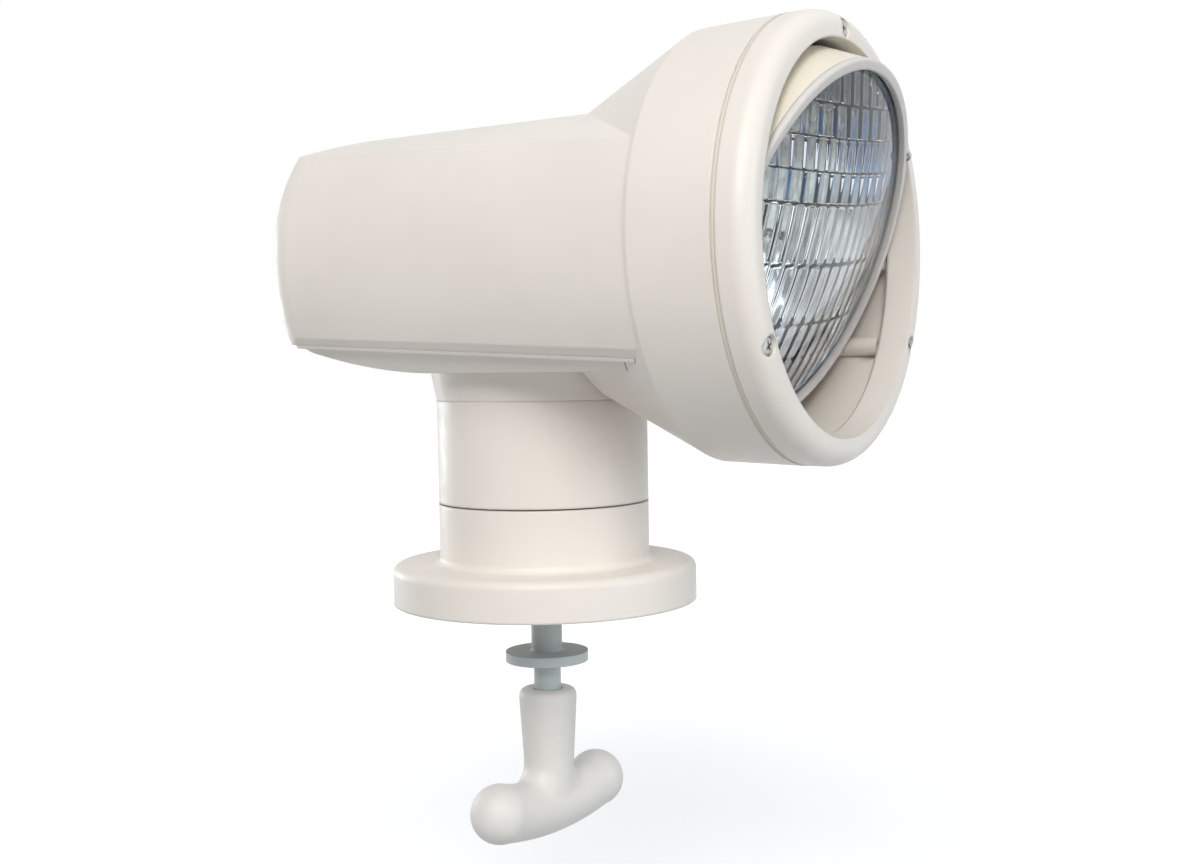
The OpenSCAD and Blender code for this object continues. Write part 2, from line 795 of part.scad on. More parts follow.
module upper_shell() {
    color(white) difference() {
        union() {
            difference() {
                union() {
                    intersection() {
                        barrel_solid(0, barrel_front);
                        above_parting();
                    }
                    head_turned() bell_profile(0, cone_x);
                }
                intersection() {
                    barrel_solid(shell_wall, core_front);
                    above_parting();
                }
                head_turned() bell_profile(shell_wall, cone_x + shell_wall);
            }
            // Screw posts on ribs that grow from the barrel's sides
            intersection() {
                barrel_solid(shell_wall/2, core_front);
                above_parting();
                union() {
                    at_posts() cylinder(r = post_r, h = parting_z + post_h);
                    for (x = [-post_x, post_x], side = [-1, 1])
                        translate([x - shell_wall/2, side > 0 ? post_y : -post_y - big, 0])
                            cube([shell_wall, big, parting_z + post_h]);
                }
            }
            // Bosses for the front ring's screws
            intersection() {
                head_turned() bell_profile(shell_wall/2, cone_x);
                at_ring_screws() translate([0, 0, bell_front - boss_l]) cylinder(r = boss_r, h = boss_l);
            }
            // Lugs that carry the lamp's trunnions
            intersection() {
                head_turned() bell_profile(shell_wall/2, cone_x);
                for (side = [-1, 1])
                    translate([tilt_x - lug_half, side > 0 ? lug_face : -lug_face - big,
                               axis_z - lug_half])
                        cube([bell_front - tilt_x + lug_half, big, 2*lug_half]);
            }
        }
        at_posts() translate([0, 0, tray_z])
            cylinder(r = screw_r + push, h = shell_screw_l + 2*screw_head_h);
        at_ring_screws() translate([0, 0, bell_front - boss_l/2])
            cylinder(r = screw_r + push, h = boss_l);
        translate([tilt_x, 0, axis_z]) rotate([90, 0, 0])
            cylinder(r = pivot_bush_r + push, h = 2*(pivot_end + push), center = true);
    }
}

module shell_screws() {
    color(steel) at_posts() translate([0, 0, tray_z + screw_head_h + sink])
        mirror([0, 0, 1]) pan_screw(shell_screw_l);
}

module front_ring() {
    color(white) difference() {
        head_turned() intersection() {
            union() {
                band(ring_open_r, ring_r, ring_x, ring_front - ring_round);
                band(ring_open_r, ring_r - ring_round, ring_x, ring_front);
                translate([ring_r - ring_round, ring_front - ring_round]) circle(r = ring_round);
            }
            band(ring_open_r, ring_r, ring_x, ring_front);
        }
        at_ring_screws() {
            translate([0, 0, ring_x - 1]) cylinder(r = screw_r + running, h = ring_depth + 2);
            translate([0, 0, ring_front - screw_head_h - sink])
                cylinder(r = screw_head_r + seam, h = big);
        }
    }
}

module front_ring_seal() {
    color(rubber) difference() {
        head_turned() band(ring_r - ring_seal_w, ring_r - ring_seal_set, bell_front, ring_x);
        at_ring_screws() translate([0, 0, bell_front - 1])
            cylinder(r = screw_r + running, h = ring_seal_t + 2);
    }
}

module front_ring_screws() {
    color(steel) at_ring_screws() translate([0, 0, ring_front - screw_head_h - sink])
        pan_screw(ring_screw_l);
}

module pivot_bushes() {
    length = pivot_end - lug_face;
    color(nylon) for (side = [-1, 1])
        translate([tilt_x, side*lug_face, axis_z]) rotate([-90*side, 0, 0])
            ring(pivot_bush_r, trunnion_r + running, length);
}

// Lamp: tilts in the bell

module lamp_carrier() {
    color(cream) at_lamp() difference() {
        union() {
            along_beam() rotate_extrude() {
                band(carrier_inner_r, carrier_r, -carrier_back, clamp_back);
                band(carrier_inner_r - seat_w, carrier_inner_r + 1, seat_x - seat_t, seat_x);
                band(carrier_inner_r - rear_flange_w, carrier_r,
                     -carrier_back, -carrier_back + rear_flange_t);
            }
            for (side = [-1, 1])
                rotate([-90*side, 0, 0]) translate([0, 0, carrier_r - carrier_wall/2])
                    cylinder(r = trunnion_half, h = carrier_wall/2 + trunnion_pad);
        }
        rotate([90, 0, 0]) cylinder(r = trunnion_r + push, h = 2*big, center = true);
        for (side = [-1, 1])
            translate([-carrier_back - 1, side*strap_screw_y, 0]) along_beam()
                cylinder(r = screw_r + push, h = rear_flange_t + 2);
    }
}

module trunnion_pins() {
    inner = carrier_inner_r + push;
    outer = pivot_end - pivot_wall/2;
    color(steel) at_lamp() for (side = [-1, 1])
        rotate([-90*side, 0, 0]) translate([0, 0, inner]) cylinder(r = trunnion_r, h = outer - inner);
}

module lamp_cushion() {
    color(rubber) at_lamp() along_beam() translate([0, 0, seat_x])
        ring(glass_r, mirror_r + seam, cushion_t);
}

// Point of the mirror's curve, a share of the way from its vertex to its rim
function mirror_point(share, shift) = [
    mirror_r*share,
    mirror_vertex + pow(mirror_r*share, 2)/(4*mirror_focus) - shift
];

module lamp_mirror() {
    neck_share = neck_r/mirror_r;
    inside = [for (i = [0:mirror_steps]) mirror_point(i/mirror_steps, 0)];
    rim = [[glass_r, mirror_rim_x], [glass_r, mirror_rim_x - glass_t]];
    outside = [
        for (i = [mirror_steps:-1:0])
            mirror_point(neck_share + (1 - neck_share)*i/mirror_steps, glass_t)
    ];
    neck = [[neck_r, neck_x], [0, neck_x]];
    color(steel) at_lamp() difference() {
        along_beam() rotate_extrude() polygon(concat(inside, rim, outside, neck));
        for (side = [-1, 1])
            translate([neck_x - 1, side*terminal_y, 0]) along_beam()
                cylinder(r = filament_post_r + push, h = mirror_depth/2);
    }
}

module lamp_lens() {
    color(glass) at_lamp() along_beam() rotate_extrude() difference() {
        intersection() {
            translate([0, lens_centre_x]) circle(r = lens_r, $fn = 240);
            translate([0, lens_edge_x - glass_t - 1]) square([glass_r, lens_rise + glass_t + 2]);
        }
        translate([0, lens_centre_x]) circle(r = lens_r - glass_t, $fn = 240);
    }
}

module lamp_filament() {
    focus_x = mirror_vertex + mirror_focus;
    color(steel) at_lamp() {
        for (side = [-1, 1])
            translate([neck_x, side*terminal_y, 0]) along_beam()
                cylinder(r = filament_post_r, h = focus_x - neck_x + filament_post_r);
        translate([focus_x, 0, 0]) rotate([90, 0, 0])
            cylinder(r = filament_post_r, h = 2*terminal_y, center = true);
    }
}

module lamp_terminals() {
    color(brass) at_lamp() for (side = [-1, 1])
        translate([neck_x - terminal_l, side*terminal_y, 0]) along_beam() difference() {
            cylinder(r = terminal_r, h = terminal_l);
            translate([-driver_slot/2, -terminal_r - 1, -1])
                cube([driver_slot, 2*terminal_r + 2, 1 + driver_slot]);
        }
}

module clamp_ring() {
    color(white) at_lamp() difference() {
        along_beam() rotate_extrude() {
            band(carrier_r - clamp_w, carrier_r, clamp_back, rim_front - clamp_edge);
            band(carrier_r - clamp_w, carrier_r - clamp_edge, clamp_back, rim_front);
            translate([carrier_r - clamp_edge, rim_front - clamp_edge]) circle(r = clamp_edge);
        }
        rotate([clamp_screw_angle, 0, 0]) translate([clamp_back - 1, carrier_r - notch_depth, -notch_w/2])
            cube([clamp_t + 2, notch_w, notch_w]);
    }
}

module clamp_screw() {
    color(steel) at_lamp() rotate([clamp_screw_angle, 0, 0])
        translate([clamp_back + clamp_head_r, carrier_r - notch_depth, 0])
        rotate([-90, 0, 0]) difference() {
            cylinder(r = clamp_head_r, h = notch_depth + clamp_head_out);
            translate([-clamp_head_r - 1, -clamp_slot/2, notch_depth + clamp_head_out - clamp_slot_depth])
                cube([2*clamp_head_r + 2, clamp_slot, 1 + clamp_slot_depth]);
        }
}

module tilt_strap() {
    foot_x = -carrier_back;
    foot_back = foot_x - strap_t;
    half_outline = [
        [foot_x, strap_foot_y],
        [foot_back, strap_foot_y],
        [foot_back, strap_knee],
        [-strap_back, strap_half],
        [-strap_back, 0],
        [-strap_back + strap_t, 0],
        [-strap_back + strap_t, strap_half - knee_shift],
        [foot_x, strap_knee - knee_shift]
    ];
    color(steel) at_lamp() difference() {
        union() {
            translate([0, 0, -strap_h/2]) linear_extrude(strap_h) {
                polygon(half_outline);
                mirror([0, 1]) polygon(half_outline);
            }
            translate([-tab_end, -tab_t/2, -tab_h/2]) cube([tab_end - strap_back + 1, tab_t, tab_h]);
        }
        rotate([90, 0, 0]) linear_extrude(strap_h, center = true) {
            slot_half = drive_pin_r + slot_clearance;
            for (end = [slot_near + slot_half, slot_far - slot_half])
                translate([-end, 0]) circle(r = slot_half);
            translate([slot_half - slot_far, -slot_half])
                square([slot_far - slot_near - 2*slot_half, 2*slot_half]);
        }
        for (side = [-1, 1])
            translate([foot_back - 1, side*strap_screw_y, 0]) along_beam()
                cylinder(r = screw_r + running, h = strap_t + 2);
    }
}

module strap_screws() {
    color(steel) at_lamp() for (side = [-1, 1])
        translate([-carrier_back - strap_t, side*strap_screw_y, 0]) rotate([0, -90, 0])
            pan_screw(strap_t + rear_flange_t);
}

// Control: slides in the head and turns it

// Blind cross hole or pin through rod and stem, open to one side of the bar
module handle_pin_bar(radius, reach) {
    blind = rod_r + handle_pin_blind;
    translate([0, 0, handle_pin_z]) rotate(bar_heading + 90) translate([-blind, 0, 0]) along_beam()
        cylinder(r = radius, h = blind + reach);
}

module control_rod() {
    color(steel) difference() {
        translate([0, 0, rod_low]) cylinder(r = rod_r, h = rod_top - rod_low);
        for (side = [-1, 1])
            translate([-big, side > 0 ? rod_flats/2 : -rod_flats/2 - big, flats_low])
                cube([2*big, big, flats_high - flats_low]);
        handle_pin_bar(handle_pin_r + push, big);
    }
}

module push_arm() {
    color(steel) difference() {
        union() {
            translate([0, 0, arm_z]) cylinder(r = arm_boss_r, h = arm_h);
            translate([0, -fork_out, arm_z]) cube([fork_front - fork_tip_r, 2*fork_out, arm_h]);
            translate([fork_front - fork_tip_r, 0, pin_z]) rotate([90, 0, 0])
                cylinder(r = fork_tip_r, h = 2*fork_out, center = true);
        }
        translate([0, 0, arm_z - 1]) cylinder(r = rod_r + push, h = arm_h + 2);
        translate([fork_root, -fork_in, arm_z - 1]) cube([big, 2*fork_in, arm_h + 2]);
        translate([pin_x, 0, pin_z]) rotate([90, 0, 0])
            cylinder(r = drive_pin_r + push, h = big, center = true);
    }
}

module arm_nut() {
    color(steel) translate([0, 0, arm_z + arm_h]) difference() {
        cylinder(r = arm_nut_r, h = arm_nut_h, $fn = 6);
        translate([0, 0, -1]) cylinder(r = rod_r + push, h = arm_nut_h + 2);
    }
}

module drive_pin() {
    length = 2*(fork_out + clip_t + 1);
    color(steel) translate([pin_x, 0, pin_z]) rotate([90, 0, 0])
        cylinder(r = drive_pin_r, h = length, center = true);
}

module pin_clips() {
    color(steel) for (side = [-1, 1])
        translate([pin_x, side*fork_out, pin_z]) rotate([-90*side, 0, 0])
            ring(clip_r, drive_pin_r + push, clip_t);
}

module t_handle() {
    bar_low = -bar_depth - bar_sag;
    color(white) difference() {
        union() {
            // Stem with a rounded shoulder and a slight taper
            rotate_extrude() {
                translate([0, -handle_top - stem_round]) square([stem_r - stem_round, stem_round]);
                translate([stem_r - stem_round, -handle_top - stem_round]) circle(r = stem_round);
                polygon([
                    [0, bar_low],
                    [waist_r, bar_low],
                    [waist_r, elbow_z + elbow_r],
                    [stem_r, -handle_top - stem_round],
                    [0, -handle_top - stem_round]
                ]);
            }
            rotate(bar_heading) {
                // Sagging bar with round ends
                translate([0, 0, bar_low + bar_arc_r]) rotate([90, 90 + bar_arc_angle, 0])
                    rotate_extrude(angle = 2*bar_arc_angle) translate([bar_arc_r, 0]) circle(r = bar_r);
                for (side = [0, 1])
                    mirror([side, 0, 0]) {
                        translate([bar_half, 0, -bar_depth]) along_beam() intersection() {
                            sphere(r = bar_end_r);
                            translate([-big, -big, dome_flat - bar_end_r])
                                cube([2*big, 2*big, 2*(bar_end_r - dome_flat)]);
                        }
                        translate([elbow_r, 0, elbow_z + elbow_r]) rotate([90, 0, 0]) rotate(180)
                            rotate_extrude(angle = 90) translate([elbow_r, 0])
                                circle(r = waist_r - elbow_set);
                    }
            }
        }
        translate([0, 0, -handle_top - handle_bore]) cylinder(r = rod_r + push, h = handle_bore + 1);
        handle_pin_bar(handle_pin_r + push, big);
    }
}

module handle_pin() {
    color(steel) handle_pin_bar(handle_pin_r, waist_r);
}

// Deck sleeve: slides on the rod to suit the deck's thickness

module deck_sleeve() {
    color(white) rotate_extrude() difference() {
        union() {
            band(0, sleeve_r, -sleeve_drop - disc_t, -sleeve_drop + sleeve_l);
            band(0, disc_r, -sleeve_drop - disc_t, -sleeve_drop);
            difference() {
                translate([sleeve_r - 0.5, -sleeve_drop - 0.5]) square(sleeve_fillet + 0.5);
                translate([sleeve_r + sleeve_fillet, -sleeve_drop + sleeve_fillet])
                    circle(r = sleeve_fillet);
            }
        }
        translate([-1, -sleeve_drop - disc_t - 1])
            square([rod_r + running + 1, sleeve_l + disc_t + 2]);
    }
}

base_flange();
deck_gasket();
deck_inserts();
cable_grommet();
rod_seal();
thrust_washer();
wave_washer();
ring_nut();
turret_column();
pan_bush();
turret_screws();
lower_shell();
drive_bush();
upper_shell();
shell_screws();
front_ring();
front_ring_seal();
front_ring_screws();
pivot_bushes();
lamp_carrier();
trunnion_pins();
lamp_cushion();
lamp_mirror();
lamp_lens();
lamp_filament();
lamp_terminals();
clamp_ring();
clamp_screw();
tilt_strap();
strap_screws();
control_rod();
push_arm();
arm_nut();
drive_pin();
pin_clips();
t_handle();
handle_pin();
deck_sleeve();
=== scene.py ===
# %% [markdown]
# # A marine searchlight from its solids to its looks
# The searchlight sits on a cabin roof and is steered from below by a T-handle. Its solids are already
# built to size, so this lesson only dresses them: it gives every piece a finish, and it makes the few
# pieces whose looks need more than a solid can carry, such as the fluted glass.

import json
import math

import bmesh
import bpy
from mathutils import Matrix, Vector


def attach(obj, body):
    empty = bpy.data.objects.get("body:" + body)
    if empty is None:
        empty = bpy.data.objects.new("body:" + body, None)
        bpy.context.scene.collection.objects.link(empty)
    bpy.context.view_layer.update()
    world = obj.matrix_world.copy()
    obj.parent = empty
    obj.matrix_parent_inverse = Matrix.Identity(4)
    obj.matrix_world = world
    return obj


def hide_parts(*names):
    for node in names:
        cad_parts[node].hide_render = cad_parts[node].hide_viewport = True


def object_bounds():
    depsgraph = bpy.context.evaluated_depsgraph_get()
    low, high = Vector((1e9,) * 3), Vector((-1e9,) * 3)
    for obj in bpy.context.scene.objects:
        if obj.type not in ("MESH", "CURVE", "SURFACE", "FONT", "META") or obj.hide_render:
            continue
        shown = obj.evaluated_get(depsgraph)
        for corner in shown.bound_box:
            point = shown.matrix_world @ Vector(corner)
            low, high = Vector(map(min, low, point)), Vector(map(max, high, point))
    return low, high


MM = 0.001
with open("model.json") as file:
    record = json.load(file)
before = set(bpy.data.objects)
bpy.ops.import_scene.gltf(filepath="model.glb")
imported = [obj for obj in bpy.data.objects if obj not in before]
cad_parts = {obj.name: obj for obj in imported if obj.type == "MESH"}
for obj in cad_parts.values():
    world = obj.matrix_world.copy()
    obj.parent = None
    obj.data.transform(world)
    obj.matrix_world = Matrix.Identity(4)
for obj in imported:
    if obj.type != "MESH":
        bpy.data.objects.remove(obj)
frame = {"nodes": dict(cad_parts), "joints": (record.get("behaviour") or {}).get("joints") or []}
nodes = frame["nodes"]
cad_low, cad_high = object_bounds()
print("solids:", len(nodes), "box in mm:", [round(side / MM) for side in cad_high - cad_low])

# %% [markdown]
# ## Building a finish out of nodes
# Real plastic and metal are never one flat colour. Every finish here starts from noise that is read in
# object coordinates, so its grain has a real size and stays on the piece when the piece moves. A few small
# helpers make the noise and send it to colour, to gloss and to relief.

# %% Helpers for numbers
def new_finish(name):
    """An empty finish with its shader and the coordinates that its grain is read in."""
    finish = bpy.data.materials.new(name)
    finish.use_nodes = True
    tree = finish.node_tree
    shader = tree.nodes["Principled BSDF"]
    place = tree.nodes.new("ShaderNodeTexCoord").outputs["Object"]
    return finish, tree, shader, place


def grain(tree, place, size, detail=3.0):
    """Noise whose features measure about that size, in metres."""
    noise = tree.nodes.new("ShaderNodeTexNoise")
    noise.inputs["Scale"].default_value = 1 / size
    noise.inputs["Detail"].default_value = detail
    tree.links.new(place, noise.inputs["Vector"])
    return noise.outputs["Fac"]


def maths(tree, operation, *values):
    """One sum on numbers that come from other nodes."""
    node = tree.nodes.new("ShaderNodeMath")
    node.operation = operation
    for value, socket in zip(values, node.inputs):
        tree.links.new(value, socket)
    return node.outputs["Value"]


def ranged(tree, value, start, end, low=0.0, high=1.0, kind="LINEAR"):
    """A number that runs from low to high while a value runs from start to end."""
    span = tree.nodes.new("ShaderNodeMapRange")
    span.interpolation_type = kind
    span.inputs["From Min"].default_value = start
    span.inputs["From Max"].default_value = end
    span.inputs["To Min"].default_value = low
    span.inputs["To Max"].default_value = high
    tree.links.new(value, span.inputs["Value"])
    return span.outputs["Result"]


print("helpers for numbers ready")

# %% [markdown]
# Noise seldom reaches nought or one, so the middle of its range is stretched over the whole of a colour or
# a gloss. The relief can also ease the edges of a piece, with a radius that only the shading sees.

# %% Helpers for colour, gloss and relief
ramp_stops = (0.32, 0.68)
noise_low = 0.3
noise_high = 0.7
edge_samples = 6


def tint(tree, factor, dark, light, socket):
    """Colour that runs from dark to light with the noise."""
    ramp = tree.nodes.new("ShaderNodeValToRGB")
    for stop, position, colour in zip(ramp.color_ramp.elements, ramp_stops, (dark, light)):
        stop.position = position
        stop.color = (*colour, 1)
    tree.links.new(factor, ramp.inputs["Fac"])
    tree.links.new(ramp.outputs["Color"], socket)


def spread(tree, factor, low, high, socket):
    """A number that runs from low to high with the noise."""
    tree.links.new(ranged(tree, factor, noise_low, noise_high, low, high), socket)


def relief(tree, factor, depth, shader, edge=0.0):
    """Fine relief from the noise, on top of edges that are eased by a small radius."""
    bump = tree.nodes.new("ShaderNodeBump")
    bump.inputs["Strength"].default_value = 1.0
    bump.inputs["Distance"].default_value = depth
    tree.links.new(factor, bump.inputs["Height"])
    if edge:
        eased = tree.nodes.new("ShaderNodeBevel")
        eased.samples = edge_samples
        eased.inputs["Radius"].default_value = edge
        tree.links.new(eased.outputs["Normal"], bump.inputs["Normal"])
    tree.links.new(bump.outputs["Normal"], shader.inputs["Normal"])


print("helpers for looks ready")

# %% [markdown]
# ## Moulded plastic
# The housing, the base and the handle are injection moulded in a warm off-white plastic with a satin skin.
# Three scales of noise are enough: a slow drift of colour as old plastic has, patches of gloss the size of
# a fingertip, and the fine skin of the mould as relief. The edges are eased in the shader because a
# moulding never has a knife edge.

# %% Moulded finishes
skin_drift = 60 * MM
skin_patch = 6 * MM
skin_grain = 1.2 * MM
skin_depth = 0.015 * MM
plastic_ior = 1.5
satin = (0.36, 0.5)
soft_satin = (0.42, 0.56)
dull = (0.6, 0.7)
off_white = ((0.79, 0.735, 0.675), (0.83, 0.775, 0.715))


def moulded(name, dark, light, roughness=satin, edge=1.6 * MM):
    """A moulded skin between two tones, with its range of roughness and the radius of its edges."""
    finish, tree, shader, place = new_finish(name)
    tint(tree, grain(tree, place, skin_drift), dark, light, shader.inputs["Base Color"])
    spread(tree, grain(tree, place, skin_patch), *roughness, shader.inputs["Roughness"])
    relief(tree, grain(tree, place, skin_grain), skin_depth, shader, edge)
    shader.inputs["IOR"].default_value = plastic_ior
    return finish


white_moulding = moulded("white_moulding", *off_white)
tray_moulding = moulded("tray_moulding", *off_white, edge=0.7 * MM)
cream_moulding = moulded("cream_moulding", (0.74, 0.69, 0.575), (0.78, 0.735, 0.62))
rim_moulding = moulded("rim_moulding", (0.63, 0.595, 0.57), (0.68, 0.645, 0.62))
handle_moulding = moulded("handle_moulding", (0.75, 0.72, 0.685), (0.80, 0.77, 0.735), soft_satin)
# The deck sleeve's bluish grey is partly its own grey and partly painted shade from the flange above it
grey_moulding_with_painted_shade = moulded("grey_moulding_with_painted_shade", (0.56, 0.60, 0.59), (0.62, 0.66, 0.65), soft_satin, 0.6 * MM)
print("moulded finishes:", [finish.name for finish in bpy.data.materials if "mould" in finish.name])

# %% [markdown]
# The same recipe gives the seals, the plain bearings and the enamel of the rod. Only the tones, the gloss
# and the edges differ.

# %% Seals, bearings and enamel
pale_seal = moulded("pale_seal", (0.70, 0.66, 0.56), (0.76, 0.72, 0.62), dull)
nylon_bearing = moulded("nylon_bearing", (0.66, 0.66, 0.6), (0.74, 0.74, 0.68), (0.4, 0.5))
rod_enamel = moulded("rod_enamel", (0.50, 0.54, 0.54), (0.57, 0.61, 0.61), (0.3, 0.4), 0.5 * MM)
black_rubber = moulded("black_rubber", (0.012, 0.012, 0.013), (0.022, 0.022, 0.024), (0.6, 0.75))
print("finishes so far:", len(bpy.data.materials))

# %% [markdown]
# ## Metal
# The screws and pins are stainless steel, the inserts and terminals are turned brass, and the links of the
# tilt drive are a light alloy. On a metal the noise goes mostly into the gloss, because the eye reads a
# metal by how sharp its reflections are.

# %% Metal finishes
metal_drift = 3 * MM
metal_patch = 0.9 * MM
metal_grain = 0.4 * MM
metal_depth = 0.004 * MM
metal_edge = 0.3 * MM


def metal(name, dark, light, roughness):
    """A bare metal between two tones, with its range of roughness."""
    finish, tree, shader, place = new_finish(name)
    shader.inputs["Metallic"].default_value = 1.0
    tint(tree, grain(tree, place, metal_drift), dark, light, shader.inputs["Base Color"])
    spread(tree, grain(tree, place, metal_patch), *roughness, shader.inputs["Roughness"])
    relief(tree, grain(tree, place, metal_grain), metal_depth, shader, metal_edge)
    return finish


stainless = metal("stainless", (0.42, 0.42, 0.41), (0.58, 0.58, 0.57), (0.22, 0.38))
turned_brass = metal("turned_brass", (0.62, 0.43, 0.17), (0.74, 0.55, 0.26), (0.2, 0.34))
light_alloy = metal("light_alloy", (0.6, 0.61, 0.62), (0.72, 0.73, 0.74), (0.35, 0.5))
tungsten = metal("tungsten", (0.2, 0.2, 0.21), (0.32, 0.32, 0.33), (0.3, 0.45))
print("metal finishes ready")

# %% [markdown]
# ## Finishes on the solids
# Each solid is named for the piece it is, so a table of finishes and names dresses the whole frame. Only
# the materials change: the meshes stay as they were built. The lens and the mirror get theirs later.

# %% Dress the solids
dressing = {
    white_moulding: ["base_flange", "turret_column", "upper_shell", "front_ring"],
    tray_moulding: ["lower_shell"],
    cream_moulding: ["lamp_carrier"],
    rim_moulding: ["clamp_ring"],
    handle_moulding: ["t_handle"],
    grey_moulding_with_painted_shade: ["deck_sleeve"],
    pale_seal: ["front_ring_seal"],
    nylon_bearing: ["thrust_washer", "pan_bush", "drive_bush", "pivot_bushes"],
    rod_enamel: ["control_rod"],
    black_rubber: ["deck_gasket", "cable_grommet", "rod_seal", "lamp_cushion"],
    stainless: [
        "wave_washer", "turret_screws", "shell_screws", "front_ring_screws", "trunnion_pins", "clamp_screw",
        "strap_screws", "arm_nut", "drive_pin", "pin_clips", "handle_pin",
    ],
    turned_brass: ["deck_inserts", "ring_nut", "lamp_terminals"],
    light_alloy: ["tilt_strap", "push_arm"],
    tungsten: ["lamp_filament"],
}
for finish, names in dressing.items():
    for name in names:
        nodes[name].data.materials.clear()
        nodes[name].data.materials.append(finish)
print("dressed:", sum(map(len, dressing.values())), "of", len(nodes))

# %% [markdown]
# ## The lamp's own frame
# The lamp hangs nose down in its stored pose. It is easier to build its glass with the beam along X and
# then to turn the finished mesh, so the tilt joint gives the pivot and the lamp's dip gives the turn. The
# sizes of the glass are measured from the solids rather than written again.

# %% Measure the lamp
lamp_dip = math.radians(20.6)
tilt_joint = next(joint for joint in frame["joints"] if joint["name"] == "lamp_tilt")
lamp_frame = Matrix.Translation(tilt_joint["pos_m"]) @ Matrix.Rotation(lamp_dip, 4, "Y")
rim_zone = 0.05 * MM


def lamp_points(node):
    """A node's vertices in the lamp's frame, as distance along the beam and distance from it."""
    back = lamp_frame.inverted()
    points = [back @ vertex.co for vertex in nodes[node].data.vertices]
    return [(point.x, math.hypot(point.y, point.z)) for point in points]


lens_points = lamp_points("lamp_lens")
glass_r = max(r for x, r in lens_points)
rim_points = [x for x, r in lens_points if r > glass_r - rim_zone]
lens_edge = max(rim_points)
lens_top = max(x for x, r in lens_points)
glass_t = lens_edge - min(rim_points)
dome_rise = lens_top - lens_edge
print("glass radius mm", round(glass_r / MM, 2), "thickness", round(glass_t / MM, 2))
print("dome's edge mm", round(lens_edge / MM, 2), "and rise", round(dome_rise / MM, 2))

# %% [markdown]
# ## The fluted glass
# The front glass is pressed with a smooth dome outside and rows of flutes inside that spread the beam. A
# flute is a shallow half-round rib, and each row leans a little, so a fine step shows where two rows meet.
# The mesh is laid out in lines of equal height across a disc, which puts the steps exactly on mesh lines,
# and the same lines carry the front and the back so that the sides close without a gap. The lamp sits in
# its carrier a few degrees off level, as a lamp does that was pushed in by hand, so its rows are turned too.

# %% Rows of flutes
flute_rows = [
    # lower edge as a share of the radius, flute pitch, flute depth, lean of the row
    (-1.00, 9.0 * MM, 0.3 * MM, 0.2 * MM),
    (-0.61, 9.0 * MM, 0.5 * MM, 0.5 * MM),
    (-0.40, 8.6 * MM, 0.8 * MM, 0.6 * MM),
    (-0.06, 7.6 * MM, 0.8 * MM, 0.9 * MM),
    (0.265, 8.8 * MM, 0.5 * MM, 1.0 * MM),
    (0.43, 7.4 * MM, 0.5 * MM, 1.0 * MM),
    (0.60, 10.0 * MM, 0.45 * MM, 0.9 * MM),
    (0.765, 8.0 * MM, 0.35 * MM, 0.5 * MM),
]
row_tops = [row[0] for row in flute_rows[1:]] + [1.0]
# Shares of the glass radius: where the flutes end, how fast they fade, the last line and half a step
plain_margin = 0.955
margin_fade = 0.02
last_line = 0.998
step_gap = 0.0012
lines_per_row = 14
points_across = 220


def glass_lines():
    """Heights of the mesh lines, as shares of the radius, each with the number of its row."""
    lines = []
    for number, (row, row_top) in enumerate(zip(flute_rows, row_tops)):
        first = max(row[0], -last_line) + step_gap
        last = min(row_top, last_line) - step_gap
        lines += [(first + (last - first) * i / lines_per_row, number) for i in range(lines_per_row + 1)]
    return lines


def flute_depth(y, z, number):
    """How far the inside of the glass stands in at a point of its row."""
    low, pitch, depth, lean = flute_rows[number]
    share = (z / glass_r - low) / (row_tops[number] - low)
    fade = min(1.0, max(0.0, (plain_margin - math.hypot(y, z) / glass_r) / margin_fade))
    wave = abs(math.sin(math.pi * y / pitch))
    return fade * (depth * (wave + wave * wave) / 2 + lean * share)


print("mesh lines:", len(glass_lines()), "points on each:", points_across + 1)

# %% [markdown]
# Both faces of the glass are parts of spheres about one centre. The front follows its sphere, the back is
# the same less the thickness and the flutes, and a strip of faces round the rim joins them.

# %% Mesh of the glass
lens_turn = math.radians(5)
glass_frame = lamp_frame @ Matrix.Rotation(lens_turn, 4, "X")


def glass_points(lines):
    """Points of the front and of the back of the glass, line by line."""
    dome_r = (glass_r**2 + dome_rise**2) / (2 * dome_rise)
    centre = lens_top - dome_r
    front, back = [], []
    for height, number in lines:
        z = height * glass_r
        half = math.sqrt(glass_r**2 - z**2)
        for i in range(points_across + 1):
            y = half * (2 * i / points_across - 1)
            r2 = y * y + z * z
            inside = centre + math.sqrt((dome_r - glass_t) ** 2 - r2)
            front.append((centre + math.sqrt(dome_r**2 - r2), y, z))
            back.append((inside - flute_depth(y, z, number), y, z))
    return front, back


def rim_loop(line_count):
    """Numbers of the points round the rim, in order."""
    wide = points_across + 1
    last = line_count - 1
    loop = list(range(points_across))
    loop += [k * wide + points_across for k in range(last)]
    loop += [last * wide + i for i in range(points_across, 0, -1)]
    loop += [k * wide for k in range(last, 0, -1)]
    return loop


def fluted_glass():
    """The closed mesh of the glass, turned into its place."""
    lines = glass_lines()
    front, back = glass_points(lines)
    wide, count = points_across + 1, len(front)
    faces = []
    for k in range(len(lines) - 1):
        for i in range(points_across):
            a = k * wide + i
            quad = (a, a + 1, a + 1 + wide, a + wide)
            faces += [quad, tuple(count + corner for corner in reversed(quad))]
    loop = rim_loop(len(lines))
    for a, b in zip(loop, loop[1:] + loop[:1]):
        faces.append((a, a + count, b + count, b))
    mesh = bpy.data.meshes.new("lens_fluted")
    mesh.from_pydata([glass_frame @ Vector(point) for point in front + back], [], faces)
    mesh.shade_smooth()
    return mesh


print("rows turned by degrees:", round(math.degrees(lens_turn), 1))

# %% [markdown]
# Pressed glass is clear, with a faint waviness in its relief and its gloss. The new piece rides on the
# lamp's body and stands in for the plain solid of the lens.

